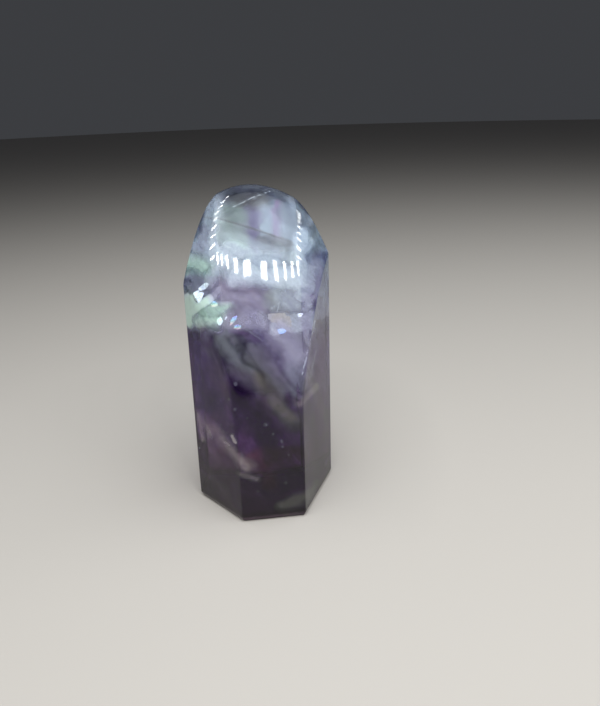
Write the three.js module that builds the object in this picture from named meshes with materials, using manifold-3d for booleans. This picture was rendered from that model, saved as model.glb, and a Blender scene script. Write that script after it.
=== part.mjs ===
// A polished fluorite freeform: one natural stone, ground to a leaning six-sided column
// with a flat foot and a smooth domed crown that falls from a high back rim to the front.
// Millimetres, +Z up, front towards -Y.
import * as THREE from 'three';
import { mergeVertices } from 'three/addons/utils/BufferGeometryUtils.js';
import Module from 'manifold-3d';

// ---- Driving dimensions ----
const height = 66.4; // foot to the crest of the crown

// The six corners of the column at the foot, before its edges are softened,
// counter-clockwise from the left one.
const corners = [
  [-15.5, 0.2], // left
  [-7.4, -12.3], // front left
  [6.0, -13.4], // front right
  [15.5, 1.9], // right
  [9.3, 13.3], // back right
  [-6.4, 12.2], // back left
];
const lean = { right: 0.015, back: 0.045 }; // sideways run of the column for each mm of rise

const arris = 0.7; // length taken off each side at a corner by its rounded edge
const footBevel = { width: 0.5, height: 1.0 };

// The crown is one blunt cone with an elliptical section: its flanks run nearly straight and
// its tip is rounded. steepness is the slope that the flanks tend to in each direction.
const crown = {
  crest: { x: 1.1, y: 14.8 },
  steepness: { x: 1.64, y: 2.43 },
  bluntness: 39.6,
};

// ---- Facets of the curved surfaces ----
const arrisSteps = 3;
const crownSectors = 120;
const crownRings = 28;
const mergeTolerance = 1e-4; // points closer than this are one corner of the mesh

// ---- Column ----
// The foot outline, with each corner replaced by a short curve that starts and ends
// at the arris length from it.
function footOutline() {
  const outline = new THREE.Shape();
  const points = corners.map(([x, y]) => new THREE.Vector2(x, y));
  points.forEach((corner, i) => {
    const before = points[(i + points.length - 1) % points.length];
    const after = points[(i + 1) % points.length];
    const start = before.clone().sub(corner).setLength(arris).add(corner);
    const end = after.clone().sub(corner).setLength(arris).add(corner);
    if (i === 0) outline.moveTo(start.x, start.y);
    else outline.lineTo(start.x, start.y);
    outline.quadraticCurveTo(corner.x, corner.y, end.x, end.y);
  });
  outline.closePath();
  return outline;
}

// A shear that moves each level of the column sideways in proportion to its height.
function leaning() {
  return new THREE.Matrix4().set(
    1, 0, lean.right, 0,
    0, 1, lean.back, 0,
    0, 0, 1, 0,
    0, 0, 0, 1,
  );
}

// The column stands on its bevelled foot at z = 0 and ends above the crest.
function column() {
  const geometry = new THREE.ExtrudeGeometry(footOutline(), {
    depth: height,
    curveSegments: arrisSteps,
    bevelEnabled: true,
    bevelThickness: footBevel.height,
    bevelSize: footBevel.width,
    bevelOffset: -footBevel.width,
    bevelSegments: 1,
  });
  geometry.translate(0, 0, footBevel.height);
  geometry.applyMatrix4(leaning());
  return geometry;
}

// ---- Crown ----
// How far the crown has dropped below its crest at a given reach from it.
// Reach is the plan distance in each direction times the steepness there.
function drop(reach) {
  return Math.hypot(crown.bluntness, reach) - crown.bluntness;
}

// The longest reach from the crest to any corner of the column.
function longestReach() {
  const { crest, steepness } = crown;
  const reaches = corners.map(([x, y]) =>
    Math.hypot((x - crest.x) * steepness.x, (y - crest.y) * steepness.y));
  return Math.max(...reaches);
}

// Everything under the crown's surface, wider than the column and deeper than its foot.
function underCrown() {
  const margin = 1.1;
  const rim = longestReach() * margin;
  const floor = -height * margin;
  const profile = [new THREE.Vector2(0, floor), new THREE.Vector2(rim, floor)];
  for (let ring = crownRings; ring >= 0; ring -= 1) {
    const reach = (rim * ring) / crownRings;
    profile.push(new THREE.Vector2(reach, -drop(reach)));
  }
  const geometry = new THREE.LatheGeometry(profile, crownSectors);
  geometry.rotateX(Math.PI / 2);
  geometry.scale(1 / crown.steepness.x, 1 / crown.steepness.y, 1);
  geometry.translate(crown.crest.x, crown.crest.y, height);
  return geometry;
}

// ---- Solids ----
const wasm = await Module();
wasm.setup();

function toSolid(geometry) {
  const bare = geometry.clone();
  bare.deleteAttribute('normal');
  bare.deleteAttribute('uv');
  const merged = mergeVertices(bare, mergeTolerance);
  return new wasm.Manifold(new wasm.Mesh({
    numProp: 3,
    vertProperties: new Float32Array(merged.attributes.position.array),
    triVerts: new Uint32Array(merged.index.array),
  }));
}

function toGeometry(solid) {
  const { vertProperties, triVerts } = solid.getMesh();
  const geometry = new THREE.BufferGeometry();
  geometry.setAttribute('position', new THREE.BufferAttribute(vertProperties, 3));
  geometry.setIndex(new THREE.BufferAttribute(triVerts, 1));
  return geometry;
}

// The origin is on the foot, under the middle of the whole stone.
function centred(geometry) {
  geometry.computeBoundingBox();
  const middle = geometry.boundingBox.getCenter(new THREE.Vector3());
  geometry.translate(-middle.x, -middle.y, 0);
  geometry.computeVertexNormals();
  return geometry;
}

// ---- The stone ----
const fluorite = new THREE.MeshStandardMaterial({
  color: 0x5a4a7a,
  roughness: 0.08,
  metalness: 0,
});

const stoneSolid = toSolid(column()).intersect(toSolid(underCrown()));
const stone = new THREE.Mesh(centred(toGeometry(stoneSolid)), fluorite);
stone.name = 'fluorite_stone';

const part = new THREE.Group();
part.add(stone);

export default part;
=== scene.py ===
import math

import bpy
import numpy as np
from mathutils import Matrix, Vector
from mathutils.bvhtree import BVHTree


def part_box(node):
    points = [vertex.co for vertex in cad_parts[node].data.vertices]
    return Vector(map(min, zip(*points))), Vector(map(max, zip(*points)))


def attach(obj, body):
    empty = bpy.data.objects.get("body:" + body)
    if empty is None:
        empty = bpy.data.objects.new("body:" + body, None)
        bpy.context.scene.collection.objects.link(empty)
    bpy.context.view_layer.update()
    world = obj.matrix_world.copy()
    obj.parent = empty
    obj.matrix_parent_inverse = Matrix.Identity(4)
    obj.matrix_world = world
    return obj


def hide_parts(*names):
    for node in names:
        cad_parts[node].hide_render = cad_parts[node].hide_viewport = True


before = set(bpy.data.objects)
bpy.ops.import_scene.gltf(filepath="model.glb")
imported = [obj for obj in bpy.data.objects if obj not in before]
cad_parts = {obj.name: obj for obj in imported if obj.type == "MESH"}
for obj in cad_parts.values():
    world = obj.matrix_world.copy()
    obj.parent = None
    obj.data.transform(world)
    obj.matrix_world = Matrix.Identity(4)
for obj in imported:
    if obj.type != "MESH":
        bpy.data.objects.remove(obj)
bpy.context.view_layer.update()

MM = 0.001  # of a metre, the unit of the scene
NODE = "fluorite_stone"
IOR = 1.434  # of fluorite

# ---- The stone's own sizes, in millimetres, before it is moved to the middle of its CAD box ----
HEIGHT = 66.4
# The corners of the foot, from the left one counter-clockwise, before the edges are softened.
CORNERS = [(-15.5, 0.2), (-7.4, -12.3), (6.0, -13.4), (15.5, 1.9), (9.3, 13.3), (-6.4, 12.2)]
LEAN = np.array([0.015, 0.045])  # sideways run of the column for each millimetre of rise
BEVEL_WIDTH, BEVEL_HEIGHT = 0.5, 1.0  # round the foot
# The crown is one blunt cone with an elliptical section: its flanks run nearly straight and its
# tip is rounded. STEEPNESS is the slope that the flanks tend to, sideways and backwards.
CREST = np.array([1.1, 14.8])
STEEPNESS = np.array([1.64, 2.43])
BLUNTNESS = 39.6

# How far two neighbouring surfaces run into each other where they meet.
ARRIS_SOFTNESS = 0.25
FOOT_SOFTNESS = 0.12
# The front left arris is crisp at the foot. It widens between these two heights.
FRONT_LEFT_SOFTNESS = 1.6
FRONT_LEFT_CRISP, FRONT_LEFT_WIDE = 12.0, 26.0
# Crown against each side, from the front left side round to the back left one.
CROWN_SOFTNESS = np.array([1.5, 4.0, 0.16, 0.14, 0.14, 0.14])
SIDE_REACH = 1.5  # how near a side has to be for its crown softness to count

# The slight unevenness that hand polishing leaves: length and height of each wave.
RIPPLES = ((16, 0.010), (13, 0.010), (9, 0.006), (7, 0.005), (5, 0.003), (4, 0.002))

# How closely the mesh follows the shape.
SPACING = 0.75  # of the columns of points round the flat sides
ARRIS_OFFSETS = np.array([-1.6, -1.0, -0.65, -0.4, -0.2, 0, 0.2, 0.4, 0.65, 1.0, 1.6])
FOOT_PARTS = (0.06, 0.25, 0.45, 0.65, 0.8, 0.9, 0.95, 0.975, 0.99, 1.0)
BEVEL_PARTS = (0.12, 0.35, 0.65, 0.88)
SIDE_RINGS = 70
CROWN_RINGS = 64
CROWN_MIDDLE = 0.6  # the crown's rings close in over the axis at this part of the height
OUTLINE_REACH = (2.0, 40.0)  # the outline lies between these distances from the axis
SETTLING_ROUNDS = 6  # steps that bring the points onto the finished surface


# ---- Camera, lights, floor ----
# The photograph's view: a little left of the front, 22 degrees down, slightly rolled.
FRAME_PIXELS = (600, 706)
FOCAL_PIXELS = 645.6
SENSOR = 36.0
CAMERA_PLACE = (-16.07, -127.97, 84.92)
CAMERA_TURN, CAMERA_TILT, CAMERA_ROLL = -10.82, 22.19, -1.97  # degrees

# A frame of lamps hangs over the stone. Places in it are in millimetres from its own middle.
FRAME_MIDDLE = (6.0, 2.2, 342)
FRAME_TURN = -9.7  # degrees
# The left and front rows are bowed: place, how strongly, and where the bow's middle lies.
LEFT_X, LEFT_BOW, LEFT_BOW_Y = -152, 0.00088, -100
FRONT_Y, FRONT_BOW, FRONT_BOW_X = -264, 0.0018, 60
RIGHT_X, RIGHT_SLANT = 268, 0.04
LEFT_LAMPS, RIGHT_LAMPS = range(-190, 140, 40), range(-140, 220, 40)  # places along the row
SIDE_LAMP = (24, 9)  # width and length
FRONT_LAMPS = [(-120, 9), (-96, 9), (-70, 11), (-32, 16), (25, 32), (102, 29), (157, 16), (200, 14),
               (240, 14), (271, 11)]  # place along the row and width
FRONT_LENGTH = 46
LAMP_BRIGHTNESS = 130.0  # watts for each square metre, as the panel's is

# The soft panel fades towards the back, in strips: place, depth and strength.
PANEL_STRIPS = [(-135, 200, 1.0)] + [(-20 + 30 * i, 30, 0.87 - 0.13 * i) for i in range(6)]
PANEL_X, PANEL_LIFT, PANEL_WIDTH = 58, 20, 470
PANEL_AIM = -90  # the flakes in the stone mirror this place of it
PANEL_BRIGHTNESS = 12.0
PANEL_COLOR = (0.90, 0.96, 1.0)

STUDIO_COLOR = (0.045, 0.047, 0.052)
FLOOR_COLOR = (0.47, 0.435, 0.395)
FLOOR_RADIUS, FLOOR_DROP = 1600, 0.02  # the drop keeps the floor clear of the stone's foot
FLOOR_CORNERS, FLOOR_ROUGHNESS = 96, 0.75


def make_camera():
    data = bpy.data.cameras.new("camera")
    data.sensor_width = SENSOR
    data.lens = SENSOR * FOCAL_PIXELS / max(FRAME_PIXELS)
    data.clip_start = 0.005
    eye = bpy.data.objects.new("camera", data)
    eye.matrix_world = (
        Matrix.Translation(Vector(CAMERA_PLACE) * MM)
        @ Matrix.Rotation(math.radians(CAMERA_TURN), 4, "Z")
        @ Matrix.Rotation(math.radians(90 - CAMERA_TILT), 4, "X")
        @ Matrix.Rotation(math.radians(CAMERA_ROLL), 4, "Z")
    )
    bpy.context.scene.collection.objects.link(eye)
    bpy.context.scene.camera = eye
    return eye


def lamp_place(x, y, lift=0.0):
    """Where a place of the lamp frame is, in metres."""
    turn = Matrix.Rotation(math.radians(FRAME_TURN), 4, "Z")
    return (Vector(FRAME_MIDDLE) + turn @ Vector((x, y, lift))) * MM


def area_lamp(name, place, width, length, brightness, color=(1.0, 1.0, 1.0)):
    """A lamp that shines straight down, with its sizes in millimetres."""
    data = bpy.data.lights.new(name, "AREA")
    data.shape = "RECTANGLE"
    data.size, data.size_y = width * MM, length * MM
    data.energy = brightness * width * length * MM * MM
    data.color = color
    lamp = bpy.data.objects.new(name, data)
    lamp.location = place
    lamp.rotation_mode = "QUATERNION"
    below = Vector((place.x, place.y, 0))
    lamp.rotation_quaternion = (below - place).to_track_quat("-Z", "Y")
    bpy.context.scene.collection.objects.link(lamp)


def hang_lamps():
    """A row of small lamps on each of three sides of a soft panel."""
    rows = {
        "left": [(LEFT_X + LEFT_BOW * (y - LEFT_BOW_Y) ** 2, y, *SIDE_LAMP) for y in LEFT_LAMPS],
        "front": [(x, FRONT_Y + FRONT_BOW * (x - FRONT_BOW_X) ** 2, width, FRONT_LENGTH)
                  for x, width in FRONT_LAMPS],
        "right": [(RIGHT_X - RIGHT_SLANT * y, y, *SIDE_LAMP) for y in RIGHT_LAMPS],
    }
    for side, row in rows.items():
        for i, (x, y, width, length) in enumerate(row):
            area_lamp(f"lamp_{side}_{i}", lamp_place(x, y), width, length, LAMP_BRIGHTNESS)
    for i, (y, depth, strength) in enumerate(PANEL_STRIPS):
        area_lamp(f"panel_{i}", lamp_place(PANEL_X, y, PANEL_LIFT), PANEL_WIDTH, depth,
                  PANEL_BRIGHTNESS * strength, PANEL_COLOR)


def set_world():
    world = bpy.data.worlds.new("studio")
    world.use_nodes = True
    background = world.node_tree.nodes["Background"]
    background.inputs["Color"].default_value = (*STUDIO_COLOR, 1)
    background.inputs["Strength"].default_value = 1.0
    bpy.context.scene.world = world


def make_floor():
    mesh = bpy.data.meshes.new("floor")
    turns = [2 * math.pi * i / FLOOR_CORNERS for i in range(FLOOR_CORNERS)]
    radius, height = FLOOR_RADIUS * MM, -FLOOR_DROP * MM
    rim = [(radius * math.cos(turn), radius * math.sin(turn), height) for turn in turns]
    mesh.from_pydata(rim, [], [list(range(FLOOR_CORNERS))])
    floor = bpy.data.objects.new("floor", mesh)
    bpy.context.scene.collection.objects.link(floor)
    material = bpy.data.materials.new("floor")
    material.use_nodes = True
    shader = material.node_tree.nodes["Principled BSDF"]
    shader.inputs["Base Color"].default_value = (*FLOOR_COLOR, 1)
    shader.inputs["Roughness"].default_value = FLOOR_ROUGHNESS
    mesh.materials.append(material)


camera = make_camera()
set_world()
make_floor()
hang_lamps()


# ---- The stone's shape ----
def smooth_max(a, b, width):
    """The larger of a and b, rounded where they differ by less than width."""
    overlap = np.maximum(width - np.abs(a - b), 0) / width
    return np.maximum(a, b) + overlap * overlap * width / 4


def side_distances(plan):
    """How far outside each side's line a plan point lies, one column for each side."""
    columns = []
    for start, end in zip(CORNERS, CORNERS[1:] + CORNERS[:1]):
        start, end = np.array(start), np.array(end)
        along = (end - start) / np.linalg.norm(end - start)
        outward = np.array([along[1], -along[0]])
        columns.append((plan - start) @ outward)
    return np.stack(columns, -1)


def outline_distance(plan, height=0.0):
    """How far outside the column's rounded outline a plan point lies."""
    sides = side_distances(plan)
    widening = np.clip((height - FRONT_LEFT_CRISP) / (FRONT_LEFT_WIDE - FRONT_LEFT_CRISP), 0, 1)
    front_left = ARRIS_SOFTNESS + (FRONT_LEFT_SOFTNESS - ARRIS_SOFTNESS) * widening
    distance = smooth_max(sides[..., 0], sides[..., 1], front_left)
    for i in range(2, len(CORNERS)):
        distance = smooth_max(distance, sides[..., i], ARRIS_SOFTNESS)
    return distance


def crown_height(plan):
    reach = np.hypot(*((plan - CREST) * STEEPNESS).T).T
    return HEIGHT + BLUNTNESS - np.hypot(BLUNTNESS, reach)


def crown_distance(points):
    plan = points[..., :2]
    run = (plan - CREST) * STEEPNESS
    reach = np.linalg.norm(run, axis=-1)
    slope = np.linalg.norm(run * STEEPNESS, axis=-1) / np.hypot(BLUNTNESS, reach)
    return (points[..., 2] - crown_height(plan)) / np.hypot(1, slope)


def ripple(points):
    """How high the polishing's unevenness stands at each point."""
    rng = np.random.default_rng(5)
    total = np.zeros(points.shape[:-1])
    for length, height in RIPPLES:
        heading = rng.normal(size=3)
        wave = heading / np.linalg.norm(heading) * 2 * math.pi / length
        total += height * np.sin(points @ wave + rng.uniform(0, 2 * math.pi))
    return total


def outside(points):
    """Signed distance from the finished surface, negative inside the stone."""
    plan = points[..., :2] - LEAN * points[..., 2:]
    sides = side_distances(plan)
    column = outline_distance(plan, points[..., 2])
    nearness = np.exp((sides - sides.max(-1, keepdims=True)) / SIDE_REACH)
    softness = (nearness * CROWN_SOFTNESS).sum(-1) / nearness.sum(-1)
    body = smooth_max(crown_distance(points), column, softness)
    slant = BEVEL_WIDTH / BEVEL_HEIGHT
    bevel = (column + BEVEL_WIDTH - points[..., 2] * slant) / math.hypot(1, slant)
    body = smooth_max(body, bevel, FOOT_SOFTNESS) + ripple(points)
    return smooth_max(body, -points[..., 2], FOOT_SOFTNESS)


def slope_of(points, step=0.01):
    """The gradient of outside() at each point."""
    rises = [outside(points + axis) - outside(points - axis) for axis in np.eye(3) * step]
    return np.stack(rises, -1) / (2 * step)


def crossing(measure, count, low, high, rounds=40):
    """Where measure(values) turns from negative to positive between low and high, for count values."""
    low, high = np.full(count, float(low)), np.full(count, float(high))
    for _ in range(rounds):
        middle = (low + high) / 2
        below = measure(middle) < 0
        low, high = np.where(below, middle, low), np.where(below, high, middle)
    return (low + high) / 2


def column_angles():
    """Angles round the axis at which the mesh has a column of points, close together at each arris."""
    angles = []
    for (x, y), (next_x, next_y) in zip(CORNERS, CORNERS[1:] + CORNERS[:1]):
        angle = math.atan2(y, x)
        span = (math.atan2(next_y, next_x) - angle) % (2 * math.pi)
        start = ARRIS_OFFSETS[ARRIS_OFFSETS >= 0] / math.hypot(x, y)
        end = ARRIS_OFFSETS[ARRIS_OFFSETS < 0] / math.hypot(next_x, next_y)
        gap = span + end[0] - start[-1]
        count = round(gap * math.hypot(x, y) / SPACING)
        between = start[-1] + gap * np.arange(1, count) / count
        angles.append(angle + np.concatenate([start, between, span + end]))
    return np.concatenate(angles)


def closer_at_ends(count, evenness=0.35):
    """Fractions from 0 to 1 that lie closer together near both ends."""
    even = np.linspace(0, 1, count)
    return evenness * even + (1 - evenness) * (1 - np.cos(math.pi * even)) / 2


def stone_points():
    """Rings of points from the middle of the foot, up the sides and over the crown to its middle."""
    angles = column_angles()
    heading = np.stack([np.cos(angles), np.sin(angles)], -1)
    radius = crossing(lambda r: outline_distance(heading * r[:, None]), len(angles), *OUTLINE_REACH)
    rim = heading * radius[:, None]
    foot = heading * (radius - BEVEL_WIDTH)[:, None]

    def at_height(plan, z):
        z = np.broadcast_to(z, len(plan))
        return np.concatenate([plan + LEAN * z[:, None], z[:, None]], -1)

    shoulder = crossing(lambda z: z - crown_height(at_height(rim, z)[:, :2]), len(rim), 0, HEIGHT * 1.1)
    middle = LEAN * HEIGHT * CROWN_MIDDLE
    rings = [at_height(foot * part, 0.0) for part in FOOT_PARTS]
    rings += [at_height(foot + (rim - foot) * part, BEVEL_HEIGHT * part) for part in BEVEL_PARTS]
    rings += [at_height(rim, BEVEL_HEIGHT + (shoulder - BEVEL_HEIGHT) * part)
              for part in closer_at_ends(SIDE_RINGS)]
    edge = at_height(rim, shoulder)[:, :2]
    for part in (1 - closer_at_ends(CROWN_RINGS))[1:-1]:
        plan = middle + (edge - middle) * part
        rings.append(np.concatenate([plan, crown_height(plan)[:, None]], -1))
    poles = np.array([[0, 0, 0], [*middle, crown_height(middle[None])[0]]])
    return np.array(rings), poles


def stone_faces(ring_count, column_count):
    """Triangles round each pole and quads between the rings."""
    foot_pole = ring_count * column_count
    crown_pole = foot_pole + 1
    last = (ring_count - 1) * column_count
    faces = []
    for c in range(column_count):
        d = (c + 1) % column_count
        faces.append((foot_pole, d, c))
        for r in range(ring_count - 1):
            a, b = r * column_count, (r + 1) * column_count
            faces.append((a + c, a + d, b + d, b + c))
        faces.append((last + c, last + d, crown_pole))
    return faces


def stone_mesh():
    """The finished stone, centred on its CAD node's box and standing on its foot."""
    rings, poles = stone_points()
    points = np.concatenate([rings.reshape(-1, 3), poles])
    for _ in range(SETTLING_ROUNDS):
        slope = slope_of(points)
        points -= slope * (outside(points) / (slope ** 2).sum(-1))[:, None]
    normals = slope_of(points)
    normals /= np.linalg.norm(normals, axis=-1, keepdims=True)
    cad_low, cad_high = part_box(NODE)
    cad_middle = (cad_low + cad_high) / 2 / MM
    middle = (points.min(0) + points.max(0)) / 2
    shift = np.array([cad_middle.x - middle[0], cad_middle.y - middle[1], -points[:, 2].min()])
    mesh = bpy.data.meshes.new("stone")
    mesh.from_pydata(((points + shift) * MM).tolist(), [], stone_faces(*rings.shape[:2]))
    mesh.shade_smooth()
    mesh.normals_split_custom_set_from_vertices(normals.tolist())
    return mesh


stone_form = stone_mesh()
stone_tree = BVHTree.FromPolygons([v.co for v in stone_form.vertices],
                                  [p.vertices for p in stone_form.polygons])


# ---- Places of the photograph on and in the stone ----
def pixel_ray(pixel):
    """Where a ray of the photograph starts and which way it goes."""
    right = (pixel[0] - FRAME_PIXELS[0] / 2) / FOCAL_PIXELS
    down = (pixel[1] - FRAME_PIXELS[1] / 2) / FOCAL_PIXELS
    heading = camera.matrix_world.to_3x3() @ Vector((right, -down, -1))
    return camera.matrix_world.translation, heading.normalized()


def refract(heading, normal, ratio):
    """A ray's direction behind a surface. ratio is the index before it over the one behind."""
    facing = -heading.dot(normal)
    facing_behind = math.sqrt(1 - ratio * ratio * (1 - facing * facing))
    return (ratio * heading + (ratio * facing - facing_behind) * normal).normalized()


def seen_at(pixel, depth):
    """The point that shows at a pixel of the photograph, that many millimetres under the surface."""
    start, heading = pixel_ray(pixel)
    point, normal, _, _ = stone_tree.ray_cast(start, heading)
    if point is None:
        raise ValueError(f"the stone isn't at pixel {pixel}")
    return point + refract(heading, normal, 1 / IOR) * depth * MM


# ---- Materials ----
class Bench:
    """Adds shader nodes to one material and wires them up in single calls."""

    def __init__(self, name):
        self.material = bpy.data.materials.new(name)
        self.material.use_nodes = True
        self.tree = self.material.node_tree
        self.shader = self.tree.nodes["Principled BSDF"]
        self.output = self.tree.nodes["Material Output"]

    def wire(self, socket, value):
        if isinstance(value, bpy.types.NodeSocket):
            self.tree.links.new(value, socket)
        elif isinstance(value, (tuple, list)) and len(value) == 3 and socket.type == "RGBA":
            socket.default_value = (*value, 1)
        else:
            socket.default_value = value

    def add(self, kind, inputs=(), **settings):
        node = self.tree.nodes.new("ShaderNode" + kind)
        for key, value in settings.items():
            setattr(node, key, value)
        for key, value in dict(inputs).items():
            self.wire(node.inputs[key], value)
        return node

    def math(self, operation, a, b=0.0, c=0.0, clamp=False):
        node = self.add("Math", {0: a, 1: b, 2: c}, operation=operation, use_clamp=clamp)
        return node.outputs[0]

    def vector(self, operation, *values, scale=1.0, out="Vector"):
        node = self.add("VectorMath", enumerate(values), operation=operation)
        node.inputs[3].default_value = scale
        return node.outputs[out]

    def smooth(self, value, low, high, to_low=0.0, to_high=1.0):
        """Runs softly from to_low, where value is at low, to to_high, where it is at high."""
        node = self.add("MapRange", {"Value": value, "From Min": low, "From Max": high,
                                     "To Min": to_low, "To Max": to_high},
                        interpolation_type="SMOOTHSTEP")
        return node.outputs[0]

    def near(self, distance, width, soft, strength):
        """strength as far as width, fading to nothing over the softness beyond it."""
        return self.smooth(distance, width, width + soft, strength, 0.0)

    def darken(self, value, low, high, strength, color, tint):
        """The colour, multiplied by the tint where value is low."""
        return self.mix(self.smooth(value, low, high, strength, 0.0), color, tint, "MULTIPLY")

    def times(self, a, b):
        return self.math("MULTIPLY", a, b)

    def most(self, a, b):
        return self.math("MAXIMUM", a, b)

    def dot(self, vector, direction):
        return self.vector("DOT_PRODUCT", vector, tuple(direction), out="Value")

    def stretch(self, direction, length):
        """A fixed direction, as long as length says."""
        stretched = self.vector("SCALE", tuple(direction))
        self.wire(stretched.node.inputs[3], length)
        return stretched

    def millimetres(self):
        return self.vector("SCALE", self.add("TexCoord").outputs["Object"], scale=1 / MM)

    def noise(self, vector, scale, detail=4.0, roughness=0.5, distortion=0.0, out="Fac"):
        node = self.add("TexNoise", {"Vector": vector, "Scale": scale, "Detail": detail,
                                     "Roughness": roughness, "Distortion": distortion})
        return node.outputs[out]

    def ramp(self, value, stops):
        node = self.add("ValToRGB", {"Fac": value})
        bar = node.color_ramp
        while len(bar.elements) > 1:
            bar.elements.remove(bar.elements[-1])
        bar.elements[0].position, bar.elements[0].color = stops[0][0], (*stops[0][1], 1)
        for position, color in stops[1:]:
            bar.elements.new(position).color = (*color, 1)
        return node.outputs["Color"]

    def mix(self, part, a, b, blend="MIX"):
        node = self.add("Mix", data_type="RGBA", blend_type=blend)
        self.wire(node.inputs["Factor"], part)
        self.wire(node.inputs[6], a)
        self.wire(node.inputs[7], b)
        return node.outputs[2]


# Colour zones in the stone. Each runs through it from front to back along GRAIN, and fills the
# space round a line between two places that the photograph shows: first pixel, second pixel, half
# width and softness of the edge in millimetres, colour, how strongly it takes over.
GRAIN = Vector((0.12, 0.93, -0.35)).normalized()
ZONES = {
    "crown_green": ((228, 216), (238, 212), 1.4, 2.6, (0.24, 0.42, 0.40), 0.8),
    "crown_violet": ((251, 198), (253, 246), 0.5, 1.8, (0.22, 0.18, 0.56), 0.9),
    "crown_pale_blue": ((265, 205), (268, 228), 0.8, 1.5, (0.54, 0.76, 1.0), 0.95),
    "crown_pink": ((274, 205), (276, 232), 0.2, 1.2, (0.58, 0.42, 0.88), 0.85),
    "crown_right_blue": ((288, 215), (297, 244), 1.6, 2.4, (0.50, 0.70, 0.96), 0.8),
    "crown_top_dark": ((238, 197), (255, 198), 0.8, 2.4, (0.03, 0.04, 0.07), 0.92),
    "below_line": ((228, 244), (286, 258), 1.6, 2.2, (0.62, 0.84, 0.96), 0.75),
    "line_shade": ((262, 236), (284, 246), 0.3, 1.2, (0.12, 0.14, 0.22), 0.7),
    "crown_left_violet": ((204, 232), (199, 262), 0.7, 1.6, (0.26, 0.24, 0.42), 0.7),
    "crown_left_green": ((188, 262), (204, 272), 0.8, 1.8, (0.46, 0.78, 0.58), 0.9),
    "crown_left_dark": ((192, 281), (216, 284), 0.4, 1.3, (0.06, 0.09, 0.13), 0.75),
    "left_glow": ((190, 296), (190, 318), 1.1, 1.5, (0.80, 1.0, 0.90), 0.95),
    "mint": ((198, 318), (224, 306), 1.2, 2.0, (0.62, 1.0, 0.80), 0.95),
    "mid_lavender": ((226, 290), (262, 300), 1.6, 2.8, (0.42, 0.35, 0.58), 0.9),
    "mid_low": ((232, 316), (246, 320), 0.8, 1.8, (0.42, 0.36, 0.58), 0.8),
    "mid_green": ((272, 300), (284, 288), 1.2, 2.2, (0.56, 0.70, 0.66), 0.7),
    "mid_pale_right": ((284, 304), (302, 290), 1.4, 2.6, (0.70, 0.80, 0.92), 0.7),
    "mid_violet": ((250, 318), (262, 338), 0.6, 1.8, (0.32, 0.27, 0.56), 0.75),
    "right_lavender": ((278, 338), (298, 366), 2.2, 2.6, (0.50, 0.48, 0.70), 0.9),
    "right_tip": ((300, 372), (303, 392), 0.6, 1.6, (0.10, 0.07, 0.20), 0.8),
    "dark_patch": ((236, 348), (248, 352), 0.8, 1.4, (0.035, 0.035, 0.07), 0.9),
    "smoky_band_top": ((224, 342), (240, 364), 0.5, 1.8, (0.13, 0.15, 0.16), 0.8),
    "smoky_band": ((250, 368), (294, 424), 1.0, 2.0, (0.07, 0.075, 0.08), 0.9),
    "indigo": ((198, 338), (208, 400), 2.0, 2.4, (0.022, 0.004, 0.10), 0.95),
    "indigo_low": ((218, 370), (226, 396), 1.0, 2.4, (0.018, 0.005, 0.05), 0.85),
    "near_black": ((238, 398), (268, 438), 1.6, 2.8, (0.014, 0.003, 0.040), 0.9),
    "magenta": ((252, 460), (270, 480), 0.6, 2.4, (0.20, 0.05, 0.12), 0.75),
    "low_front": ((268, 458), (300, 456), 1.0, 2.6, (0.034, 0.016, 0.022), 0.85),
    "right_face": ((321, 330), (318, 470), 0.6, 2.0, (0.05, 0.02, 0.08), 0.85),
    "right_shoulder": ((318, 262), (314, 292), 0.6, 2.0, (0.40, 0.42, 0.56), 0.85),
    "foot_green": ((284, 509), (316, 488), 0.6, 1.6, (0.20, 0.25, 0.17), 0.85),
    "foot_grey": ((204, 480), (214, 500), 0.7, 1.6, (0.20, 0.17, 0.20), 0.7),
}

# Mist fills the same kind of place, with the same values. It is of three kinds, by its edge. Some of it
# is painted light: a reflection among the clear-cut ones and a glow round the lamps' highlight among
# the soft ones.
BLUISH, GREENISH, CREAM = (0.76, 0.86, 0.96), (0.76, 0.98, 0.86), (0.86, 0.82, 0.72)
LAVENDER = (0.76, 0.78, 0.92)
CLEAR_CUT_MISTS_AND_REFLECTION = [
    # The first four draw a pale cream rectangle: a painted reflection, the image of pale wood behind
    # the stone seen through it.
    ((269.5, 315), (284, 315), 0.30, 0.25, CREAM, 0.52),
    ((269.5, 318), (288, 318.5), 0.35, 0.25, CREAM, 0.52),
    ((272, 320.5), (289.5, 322), 0.30, 0.25, CREAM, 0.50),
    ((279, 324), (290, 325.5), 0.25, 0.25, CREAM, 0.44),
    ((232, 436), (235, 442), 0.15, 0.6, CREAM, 0.60),
    ((225, 442), (229, 445), 0.1, 0.6, CREAM, 0.50),
]
FRAYED_MISTS = [
    ((198, 414), (203, 440), 0.1, 0.9, CREAM, 0.40),
    ((222, 438), (247, 468), 0.2, 1.6, CREAM, 0.42),
    ((190, 313), (210, 299), 0.3, 1.2, GREENISH, 0.96),
    ((187, 297), (188, 312), 0.3, 0.9, BLUISH, 1.0),
    ((300, 404), (316, 387), 0.2, 1.1, CREAM, 0.30),
    ((204, 466), (238, 514), 0.1, 0.9, CREAM, 0.14),
    ((286, 384), (302, 399), 0.1, 1.0, BLUISH, 0.30),
    ((240, 474), (257, 479), 0.1, 1.0, CREAM, 0.34),
]
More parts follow.
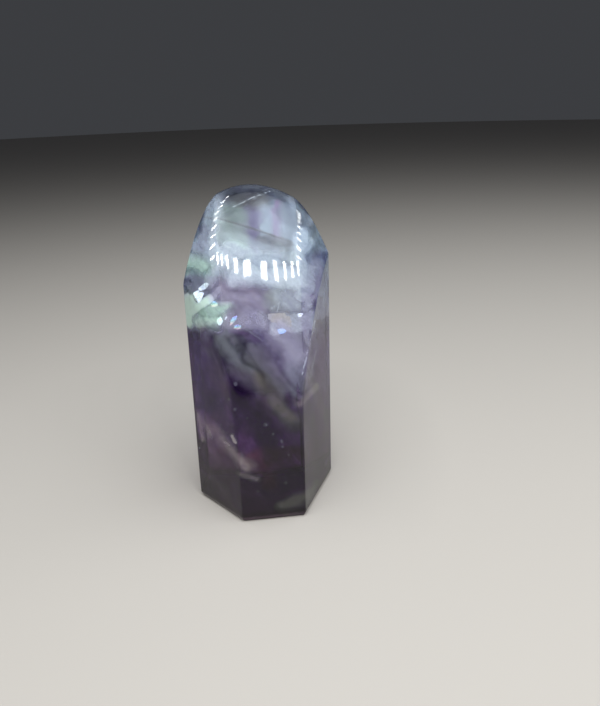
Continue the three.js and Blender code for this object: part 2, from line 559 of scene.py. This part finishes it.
SOFT_MISTS_AND_HALO = [
    # The first four lie along the reflection of the front lamps: partly the crown's milky mist, partly
    # a painted glow round that highlight.
    ((212, 256), (234, 270), 1.2, 3.0, BLUISH, 0.50),
    ((228, 248), (276, 258), 0.8, 3.0, BLUISH, 0.50),
    ((238, 272), (296, 276), 0.8, 3.8, BLUISH, 0.70),
    ((220, 262), (238, 268), 0.6, 2.6, BLUISH, 0.56),
    ((268, 226), (262, 206), 0.5, 2.4, BLUISH, 0.32),
    ((296, 262), (312, 246), 0.2, 2.2, BLUISH, 0.45),
    ((300, 294), (312, 270), 0.4, 2.4, BLUISH, 0.50),
    ((190, 258), (203, 266), 0.4, 2.8, GREENISH, 0.54),
    ((188, 304), (189, 320), 0.5, 1.9, GREENISH, 0.90),
    ((209, 298), (220, 290), 0.4, 1.8, GREENISH, 0.50),
    ((204, 318), (220, 309), 0.8, 3.0, GREENISH, 0.50),
    ((198, 286), (190, 276), 0.1, 1.4, BLUISH, 0.30),
    ((217, 203), (202, 250), 0.8, 2.2, BLUISH, 0.46),
    ((292, 197), (306, 220), 0.6, 2.2, BLUISH, 0.34),
    ((318, 262), (313, 290), 0.4, 2.0, BLUISH, 0.34),
    ((307, 296), (305, 342), 0.4, 1.8, LAVENDER, 0.46),
    ((297, 296), (298, 380), 1.0, 3.0, BLUISH, 0.28),
    ((218, 292), (262, 308), 0.6, 3.2, LAVENDER, 0.35),
    ((226, 322), (260, 320), 0.4, 2.6, LAVENDER, 0.42),
    ((276, 326), (310, 319), 0.8, 2.4, BLUISH, 0.54),
    ((203, 324), (214, 326), 0.5, 2.0, GREENISH, 0.66),
    ((254, 352), (282, 388), 0.6, 1.8, LAVENDER, 0.26),
    ((236, 372), (260, 392), 0.4, 1.8, LAVENDER, 0.15),
    ((209, 242), (212, 280), 0.4, 2.0, BLUISH, 0.50),
    ((300, 234), (301, 278), 0.5, 3.0, BLUISH, 0.56),
    ((276, 290), (292, 304), 0.8, 2.6, BLUISH, 0.36),
    ((222, 232), (240, 238), 0.6, 2.6, GREENISH, 0.34),
    ((277, 228), (282, 238), 0.4, 2.2, BLUISH, 0.34),
    ((282, 334), (298, 352), 1.0, 3.0, LAVENDER, 0.34),
    ((220, 340), (258, 384), 0.3, 1.8, BLUISH, 0.24),
    ((256, 378), (292, 418), 0.3, 2.0, CREAM, 0.14),
    ((200, 418), (222, 436), 0.3, 1.8, CREAM, 0.30),
    ((224, 442), (246, 467), 0.2, 2.0, CREAM, 0.26),
    ((206, 470), (230, 500), 0.4, 2.4, CREAM, 0.14),
    ((285, 508), (312, 490), 0.4, 2.0, CREAM, 0.24),
]

# Hair-thin flaws, drawn as bright lines: first pixel, second pixel, half width, strength.
HAIRLINES = [
    ((233, 207), (270, 191), 0.03, 0.7),
    ((252, 200), (270, 191), 0.03, 0.5),
    ((289, 275), (281, 294), 0.04, 0.6),
    ((281, 294), (277, 312), 0.04, 0.5),
    ((315, 321), (311, 340), 0.10, 0.8),
    ((308, 351), (302, 375), 0.09, 0.7),
    ((316, 351), (310, 378), 0.05, 0.5),
    ((196, 325), (217, 325), 0.03, 0.4),
    ((240, 330), (259, 345), 0.03, 0.4),
    ((245, 316), (261, 330), 0.03, 0.5),
    ((190, 312), (207, 297), 0.10, 0.5),
]
# The shadowed edge that crosses the crown.
DARK_LINES = [
    ((203, 217), (220, 219)), ((220, 219), (254, 229)), ((254, 229), (292, 243)),
]

# Tiny bubbles under the surface, each drawn as a pale ring, a painted highlight where its wall catches
# light: pixel, radius, strength.
BUBBLE_RING_HIGHLIGHTS = [
    ((235.5, 384), 0.26, 0.45), ((235, 409.4), 0.20, 0.40), ((265.3, 424.7), 0.26, 0.40),
    ((273, 434.3), 0.16, 0.30), ((281.6, 441.6), 0.20, 0.40), ((282.5, 446.7), 0.14, 0.35),
    ((288.8, 454.8), 0.16, 0.25), ((285.8, 482.5), 0.22, 0.35), ((258, 491.3), 0.14, 0.25),
    ((241.6, 508), 0.12, 0.2), ((199.6, 448), 0.14, 0.5), ((210, 472), 0.14, 0.3),
    ((229, 399), 0.12, 0.25), ((247, 418), 0.14, 0.2), ((221, 425), 0.12, 0.3),
    ((272, 308), 0.14, 0.4), ((252, 213), 0.12, 0.4),
]

# The crystal grew in layers across GROWTH. RISE is nearly upwards, and tells clear from violet.
GROWTH = (0.73, -0.256, 0.634)
RISE = (0.12, -0.05, 1.0)
VIOLET_TOP, CLEAR_BOTTOM, CLEAR_TOP = 37.0, 42.0, 68.0  # heights along RISE
FADE_START = 34.0  # along RISE, where clear colours and mist set in and the violet haze fades
VIOLET_SPAN = 40.0  # how far along GROWTH the violet colours run
CLEAR_COLORS = [
    (0.0, (0.36, 0.34, 0.50)),
    (0.35, (0.46, 0.52, 0.66)),
    (0.6, (0.46, 0.62, 0.72)),
    (0.9, (0.30, 0.40, 0.52)),
    (1.0, (0.20, 0.23, 0.32)),
]
VIOLET_COLORS = [
    (0.0, (0.14, 0.05, 0.17)),
    (0.22, (0.09, 0.02, 0.16)),
    (0.40, (0.06, 0.016, 0.12)),
    (0.50, (0.08, 0.08, 0.11)),
    (0.56, (0.05, 0.04, 0.09)),
    (0.70, (0.12, 0.09, 0.22)),
    (1.0, (0.07, 0.055, 0.13)),
]
MIST_FULL, MIST_THINNING, MIST_THIN = 44.0, 56.0, 64.0  # along RISE, of the mist near the top
BAND_TINT, GRIT_TINT = (0.45, 0.38, 0.62), (0.5, 0.5, 0.55)
CLOUD_SHADE, CLOUD_LIGHT = (0.30, 0.26, 0.42), (0.80, 0.86, 0.94)
HAZE_COLOR = (0.27, 0.14, 0.50)
DARK_LINE_COLOR, DARK_LINE_SOFTNESS, DARK_LINE_STRENGTH = (0.08, 0.09, 0.13), 0.35, 0.8
HAIRLINE_SOFTNESS = 0.2
BUBBLE_WALL, BUBBLE_SOFTNESS = 0.02, 0.10  # half width and softness of a bubble's ring
# Painted shade at the foot, where no light comes up from below.
FOOT_SHADE_COLOR = (0.036, 0.020, 0.025)
FOOT_DARK, FOOT_DARK_TOP = 1.2, 3.0  # heights between which the foot's painted shade fades
FOOT_SHUT, FOOT_CLEAR = 0.7, 1.6  # heights between which the stone turns see-through
ABSORBED, ABSORPTION_DENSITY = (0.80, 0.76, 0.90), 24.0
COAT_WEIGHT, COAT_ROUGHNESS = 0.14, 0.34


def across_grain(vector):
    return vector - GRAIN * vector.dot(GRAIN)


def capsule_distance(b, place, first, second):
    """Distance in millimetres, across the grain, from a place to the line between two pixels."""
    start, end = (across_grain(seen_at(pixel, 0) / MM) for pixel in (first, second))
    along = end - start
    from_start = b.vector("SUBTRACT", place, tuple(start))
    part = b.dot(from_start, along / max(along.length_squared, 1e-6))
    reached = b.stretch(along, b.math("ADD", part, 0.0, clamp=True))
    return b.vector("DISTANCE", from_start, reached, out="Value")


def flattened(b, place):
    """A place without its part along the grain."""
    return b.vector("SUBTRACT", place, b.stretch(GRAIN, b.dot(place, GRAIN)))


def bend(b, place, scale, size, detail=2.0):
    """A place moved about by noise, by up to half of size millimetres."""
    shift = b.vector("SUBTRACT", b.noise(place, scale, detail, 0.55, out="Color"), (0.5, 0.5, 0.5))
    return b.vector("MULTIPLY_ADD", shift, (size, size, size), place)


def flaw_lines(b, place, crisp):
    """How strongly the bubbles' painted highlight rings and the hair-thin flaws show at each place."""
    lines = 0.0
    plain = flattened(b, place)
    for pixel, radius, strength in BUBBLE_RING_HIGHLIGHTS:
        from_middle = capsule_distance(b, plain, pixel, pixel)
        off_ring = b.math("ABSOLUTE", b.math("SUBTRACT", from_middle, radius))
        lines = b.most(lines, b.near(off_ring, BUBBLE_WALL, BUBBLE_SOFTNESS, strength))
    breaks = b.smooth(b.noise(place, 0.9, 2.0), 0.35, 0.56, 0.2, 0.8)
    for first, second, width, strength in HAIRLINES:
        distance = capsule_distance(b, crisp, first, second)
        hairline = b.near(distance, width, HAIRLINE_SOFTNESS, strength)
        lines = b.most(lines, b.times(hairline, breaks))
    return lines


def mist_places(b, mists, ground, mist, color):
    """Adds places of mist to what there is: how strong it is, and its colour."""
    for first, second, width, soft, tint, strength in mists:
        here = b.near(capsule_distance(b, ground, first, second), width, soft, strength)
        mist = b.most(mist, here)
        if tint != BLUISH:
            color = b.mix(b.smooth(here, 0.0, strength), color, tint)
    return mist, color


def zoned_color(b, bent, rise, across):
    """Violet below, clear above, and the zones that the photograph shows."""
    clear = b.ramp(b.smooth(rise, FADE_START, CLEAR_TOP), CLEAR_COLORS)
    across_part = b.add("MapRange", {"Value": across, "From Min": 0.0, "From Max": VIOLET_SPAN})
    violet = b.ramp(across_part.outputs[0], VIOLET_COLORS)
    color = b.mix(b.smooth(rise, VIOLET_TOP, CLEAR_BOTTOM), violet, clear)
    flat = flattened(b, bent)
    for first, second, width, soft, tint, strength in ZONES.values():
        here = b.near(capsule_distance(b, flat, first, second), width, soft, strength)
        color = b.mix(here, color, tint)
    return color


def clouded_color(b, color, bands, clouds, grit):
    """The colour with thin bands along the growth, clouds of several sizes and a fine grit."""
    color = b.darken(bands, 0.40, 0.58, 0.45, color, BAND_TINT)
    color = b.darken(clouds, 0.30, 0.52, 0.60, color, CLOUD_SHADE)
    color = b.mix(b.smooth(clouds, 0.52, 0.75, 0.0, 0.40), color, CLOUD_LIGHT, "SOFT_LIGHT")
    return b.darken(grit, 0.35, 0.65, 0.30, color, GRIT_TINT)


def wispy_mist(b, mist, rise, clouds, wisps, grit):
    """The mist, thicker in the clouds near the top, and uneven with wisps and grit."""
    top = b.smooth(rise, FADE_START, MIST_FULL, 0.0, 0.26)
    top = b.times(top, b.smooth(rise, MIST_THINNING, MIST_THIN, 1.0, 0.2))
    mist = b.most(mist, b.times(top, b.smooth(clouds, 0.40, 0.62)))
    mist = b.times(mist, b.smooth(wisps, 0.34, 0.64, 0.90, 1.05))
    return b.times(mist, b.smooth(grit, 0.38, 0.62, 0.95, 1.04))


def low_haze(b, rise, clouds, wisps, grit):
    """How strong the thin violet haze of the lower part is."""
    haze = b.smooth(clouds, 0.46, 0.64, 0.003, 0.13)
    haze = b.times(haze, b.smooth(rise, FADE_START, CLEAR_BOTTOM, 1.0, 0.0))
    haze = b.times(haze, b.smooth(wisps, 0.42, 0.60, 0.2, 1.5))
    return b.times(haze, b.smooth(grit, 0.40, 0.62, 0.5, 1.4))


def crossed_by_dark_lines(b, color, crisp):
    for first, second in DARK_LINES:
        distance = capsule_distance(b, crisp, first, second)
        line = b.near(distance, 0.0, DARK_LINE_SOFTNESS, DARK_LINE_STRENGTH)
        color = b.mix(line, color, DARK_LINE_COLOR)
    return color


def stone_material():
    b = Bench("polished_fluorite")
    place = b.millimetres()

    # The same places, moved about by noise. Zones and soft mists wander most, and flaws hardly.
    fine = bend(b, place, 1.1, 0.5, 4.0)
    bent = bend(b, bend(b, fine, 0.17, 5.0), 0.45, 2.4, 4.0)
    gentle = bend(b, bend(b, place, 0.16, 5.0, 1.0), 0.50, 0.7, 1.0)
    crisp = flattened(b, bend(b, place, 0.6, 0.5))

    # Bands and wisps are noise drawn out along the layers in which the crystal grew.
    rise, across = b.dot(bent, RISE), b.dot(bent, GROWTH)
    layers = b.vector("MULTIPLY_ADD", place, (0.12, 0.12, 0.12), b.stretch(GROWTH, across))
    streaks = b.vector("MULTIPLY_ADD", fine, (0.4, 0.4, 0.4), b.stretch(GROWTH, b.dot(gentle, GROWTH)))
    bands = b.noise(layers, 0.8, 3.0, 0.6)
    wisps = b.noise(streaks, 0.7, 5.0, 0.62)
    clouds = b.noise(bent, 0.30, 6.0, 0.62)
    grit = b.noise(place, 1.6, 6.0, 0.7)

    lines = flaw_lines(b, place, crisp)
    clear_cut, mist_color = mist_places(b, CLEAR_CUT_MISTS_AND_REFLECTION, crisp, lines, BLUISH)
    mist, mist_color = mist_places(b, FRAYED_MISTS, flattened(b, fine), 0.0, mist_color)
    mist, mist_color = mist_places(b, SOFT_MISTS_AND_HALO, flattened(b, gentle), mist, mist_color)
    mist = b.most(wispy_mist(b, mist, rise, clouds, wisps, grit), clear_cut)
    haze = low_haze(b, rise, clouds, wisps, grit)

    color = clouded_color(b, zoned_color(b, bent, rise, across), bands, clouds, grit)
    color = crossed_by_dark_lines(b, b.mix(haze, color, HAZE_COLOR), crisp)
    color = b.mix(mist, color, mist_color)

    # The foot is painted dark, as shade, because no light comes up through what the stone stands on.
    height = b.add("SeparateXYZ", {0: place}).outputs[2]
    color = b.mix(b.smooth(height, FOOT_DARK, FOOT_DARK_TOP, 0.85, 0.0), color, FOOT_SHADE_COLOR)
    clearness = b.times(b.smooth(b.most(mist, haze), 0.0, 0.9, 0.94, 0.36),
                        b.smooth(height, FOOT_SHUT, FOOT_CLEAR))

    b.wire(b.shader.inputs["Base Color"], color)
    b.wire(b.shader.inputs["Transmission Weight"], clearness)
    b.wire(b.shader.inputs["Roughness"], b.smooth(clouds, 0.3, 0.7, 0.02, 0.05))
    b.shader.inputs["IOR"].default_value = IOR
    b.shader.inputs["Coat Weight"].default_value = COAT_WEIGHT
    b.shader.inputs["Coat Roughness"].default_value = COAT_ROUGHNESS
    b.shader.inputs["Coat IOR"].default_value = IOR
    absorb = b.add("VolumeAbsorption")
    absorb.inputs["Color"].default_value = (*ABSORBED, 1)
    absorb.inputs["Density"].default_value = ABSORPTION_DENSITY
    b.wire(b.output.inputs["Volume"], absorb.outputs[0])
    return b.material


# ---- What lies inside the stone ----
FLAKE_CORNERS = 9
FLAKE_REACH = (0.75, 1.1)  # how far out a corner lies at random, as a part of the half width
FLAKE_SWELL = 0.004  # half thickness for each millimetre of width
AIMING_ROUNDS = 8  # steps in which a flake's aim settles

# Thin bright flakes: pixel, depth, width, length, turn in degrees.
GLINTS = [
    ((197.5, 296), 1.1, 2.6, 3.2, -25),
    ((204, 286.5), 1.2, 1.3, 2.6, -50),
    ((219.7, 321.3), 0.8, 1.3, 1.9, 0),
    ((300, 315), 1.0, 1.3, 1.0, 20),
    ((226, 318), 1.8, 0.4, 0.9, -30),
]
RAINBOWS = [
    ((213, 303.5), 1.2, 2.1, 1.5, -25),
    ((233.5, 320), 1.2, 0.9, 2.8, -30),
    ((238, 327), 1.3, 1.7, 1.2, 10),
]
BLUE_FLASH = [((282, 331), 0.8, 1.8, 1.5, 0)]
WHITE_COLORS = [(1.0, 1.0, 0.96), (1.0, 0.98, 0.90)]
BLUE_COLORS = [(0.35, 0.62, 1.0), (0.60, 0.80, 1.0)]
RAINBOW_COLORS = [
    (0.9, 0.5, 0.62), (0.95, 0.85, 0.6), (0.55, 0.92, 0.75), (0.42, 0.78, 0.95), (0.68, 0.6, 0.95),
]
GLINT_MIRROR, RAINBOW_MIRROR = 0.8, 0.5  # how much of the film is mirror
FILM_WANDER, FILM_DROP = 0.25, 0.12  # how far noise moves the film's colours, and what centres them


def path_out(start):
    """The direction inside the stone from a point to the panel, bent as the surface bends it."""
    panel = lamp_place(PANEL_X, PANEL_AIM, PANEL_LIFT)
    heading = (panel - start).normalized()
    for _ in range(AIMING_ROUNDS):
        exit_point, normal, _, _ = stone_tree.ray_cast(start, heading)
        normal = normal if normal.dot(heading) > 0 else -normal
        heading = -refract((exit_point - panel).normalized(), normal, 1 / IOR)
    return heading


def flake(pixel, depth, width, length, turn, rng):
    """One thin flake that mirrors the panel to the front: its points and faces.

    Its width lies level in the photograph before the flake is turned about its own middle."""
    centre = seen_at(pixel, depth)
    view = (seen_at(pixel, depth + 0.1) - centre).normalized()
    normal = (path_out(centre) - view).normalized()
    level = camera.matrix_world.to_3x3() @ Vector((1, 0, 0))
    across = (level - normal * level.dot(normal)).normalized()
    across.rotate(Matrix.Rotation(math.radians(turn), 3, normal))
    along = normal.cross(across)
    rim = []
    for i in range(FLAKE_CORNERS):
        angle = 2 * math.pi * i / FLAKE_CORNERS
        reach = 0.5 * rng.uniform(*FLAKE_REACH)
        corner = across * width * math.cos(angle) + along * length * math.sin(angle)
        rim.append(centre + corner * reach * MM)
    swell = normal * FLAKE_SWELL * width * MM
    points = rim + [centre + swell, centre - swell]
    front, back = FLAKE_CORNERS, FLAKE_CORNERS + 1
    faces = []
    for i in range(FLAKE_CORNERS):
        following = (i + 1) % FLAKE_CORNERS
        faces += [(i, following, front), (following, i, back)]
    return points, faces


def joined(name, parts):
    """One mesh from several lists of points and faces."""
    points, faces = [], []
    for part_points, part_faces in parts:
        faces += [tuple(len(points) + corner for corner in face) for face in part_faces]
        points += part_points
    mesh = bpy.data.meshes.new(name)
    mesh.from_pydata([tuple(point) for point in points], [], faces)
    return mesh


def glint_material(name, colors, mirror):
    """A thin film, part mirror and part clear. Its colours run from the bottom to the top."""
    b = Bench(name)
    height = b.add("SeparateXYZ", {0: b.add("TexCoord").outputs["Generated"]}).outputs[2]
    cloud = b.noise(b.millimetres(), 1.5)
    part = b.math("MULTIPLY_ADD", cloud, FILM_WANDER, b.math("SUBTRACT", height, FILM_DROP))
    stops = [(i / (len(colors) - 1), color) for i, color in enumerate(colors)]
    b.wire(b.shader.inputs["Base Color"], b.ramp(part, stops))
    b.shader.inputs["Metallic"].default_value = mirror
    b.shader.inputs["Transmission Weight"].default_value = 1.0
    b.shader.inputs["IOR"].default_value = IOR
    b.wire(b.shader.inputs["Roughness"], b.smooth(cloud, 0.3, 0.7, 0.05, 0.16))
    return b.material


def add_piece(name, mesh, material):
    piece = bpy.data.objects.new(name, mesh)
    bpy.context.scene.collection.objects.link(piece)
    mesh.materials.append(material)
    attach(piece, "root")
    return piece


def add_inclusions():
    rng = np.random.default_rng(11)
    kinds = {
        "glints": (GLINTS, GLINT_MIRROR, WHITE_COLORS),
        "blue_glint": (BLUE_FLASH, GLINT_MIRROR, BLUE_COLORS),
    }
    for i, where in enumerate(RAINBOWS):
        kinds[f"rainbow_glint_{i + 1}"] = ([where], RAINBOW_MIRROR, RAINBOW_COLORS)
    for name, (places, mirror, colors) in kinds.items():
        parts = [flake(*where, rng) for where in places]
        add_piece(name, joined(name, parts), glint_material(name, colors, mirror))


# ---- Making ----
stone = add_piece("fluorite_stone_polished", stone_form, stone_material())
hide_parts(NODE)
add_inclusions()

BOUNCES = 24  # enough for light that goes back and forth inside the stone
bpy.context.scene.view_settings.view_transform = "Standard"
cycles = bpy.context.scene.cycles
cycles.sample_clamp_indirect = 2.0
cycles.use_denoising = True
cycles.max_bounces = BOUNCES
cycles.transmission_bounces = BOUNCES
cycles.transparent_max_bounces = BOUNCES
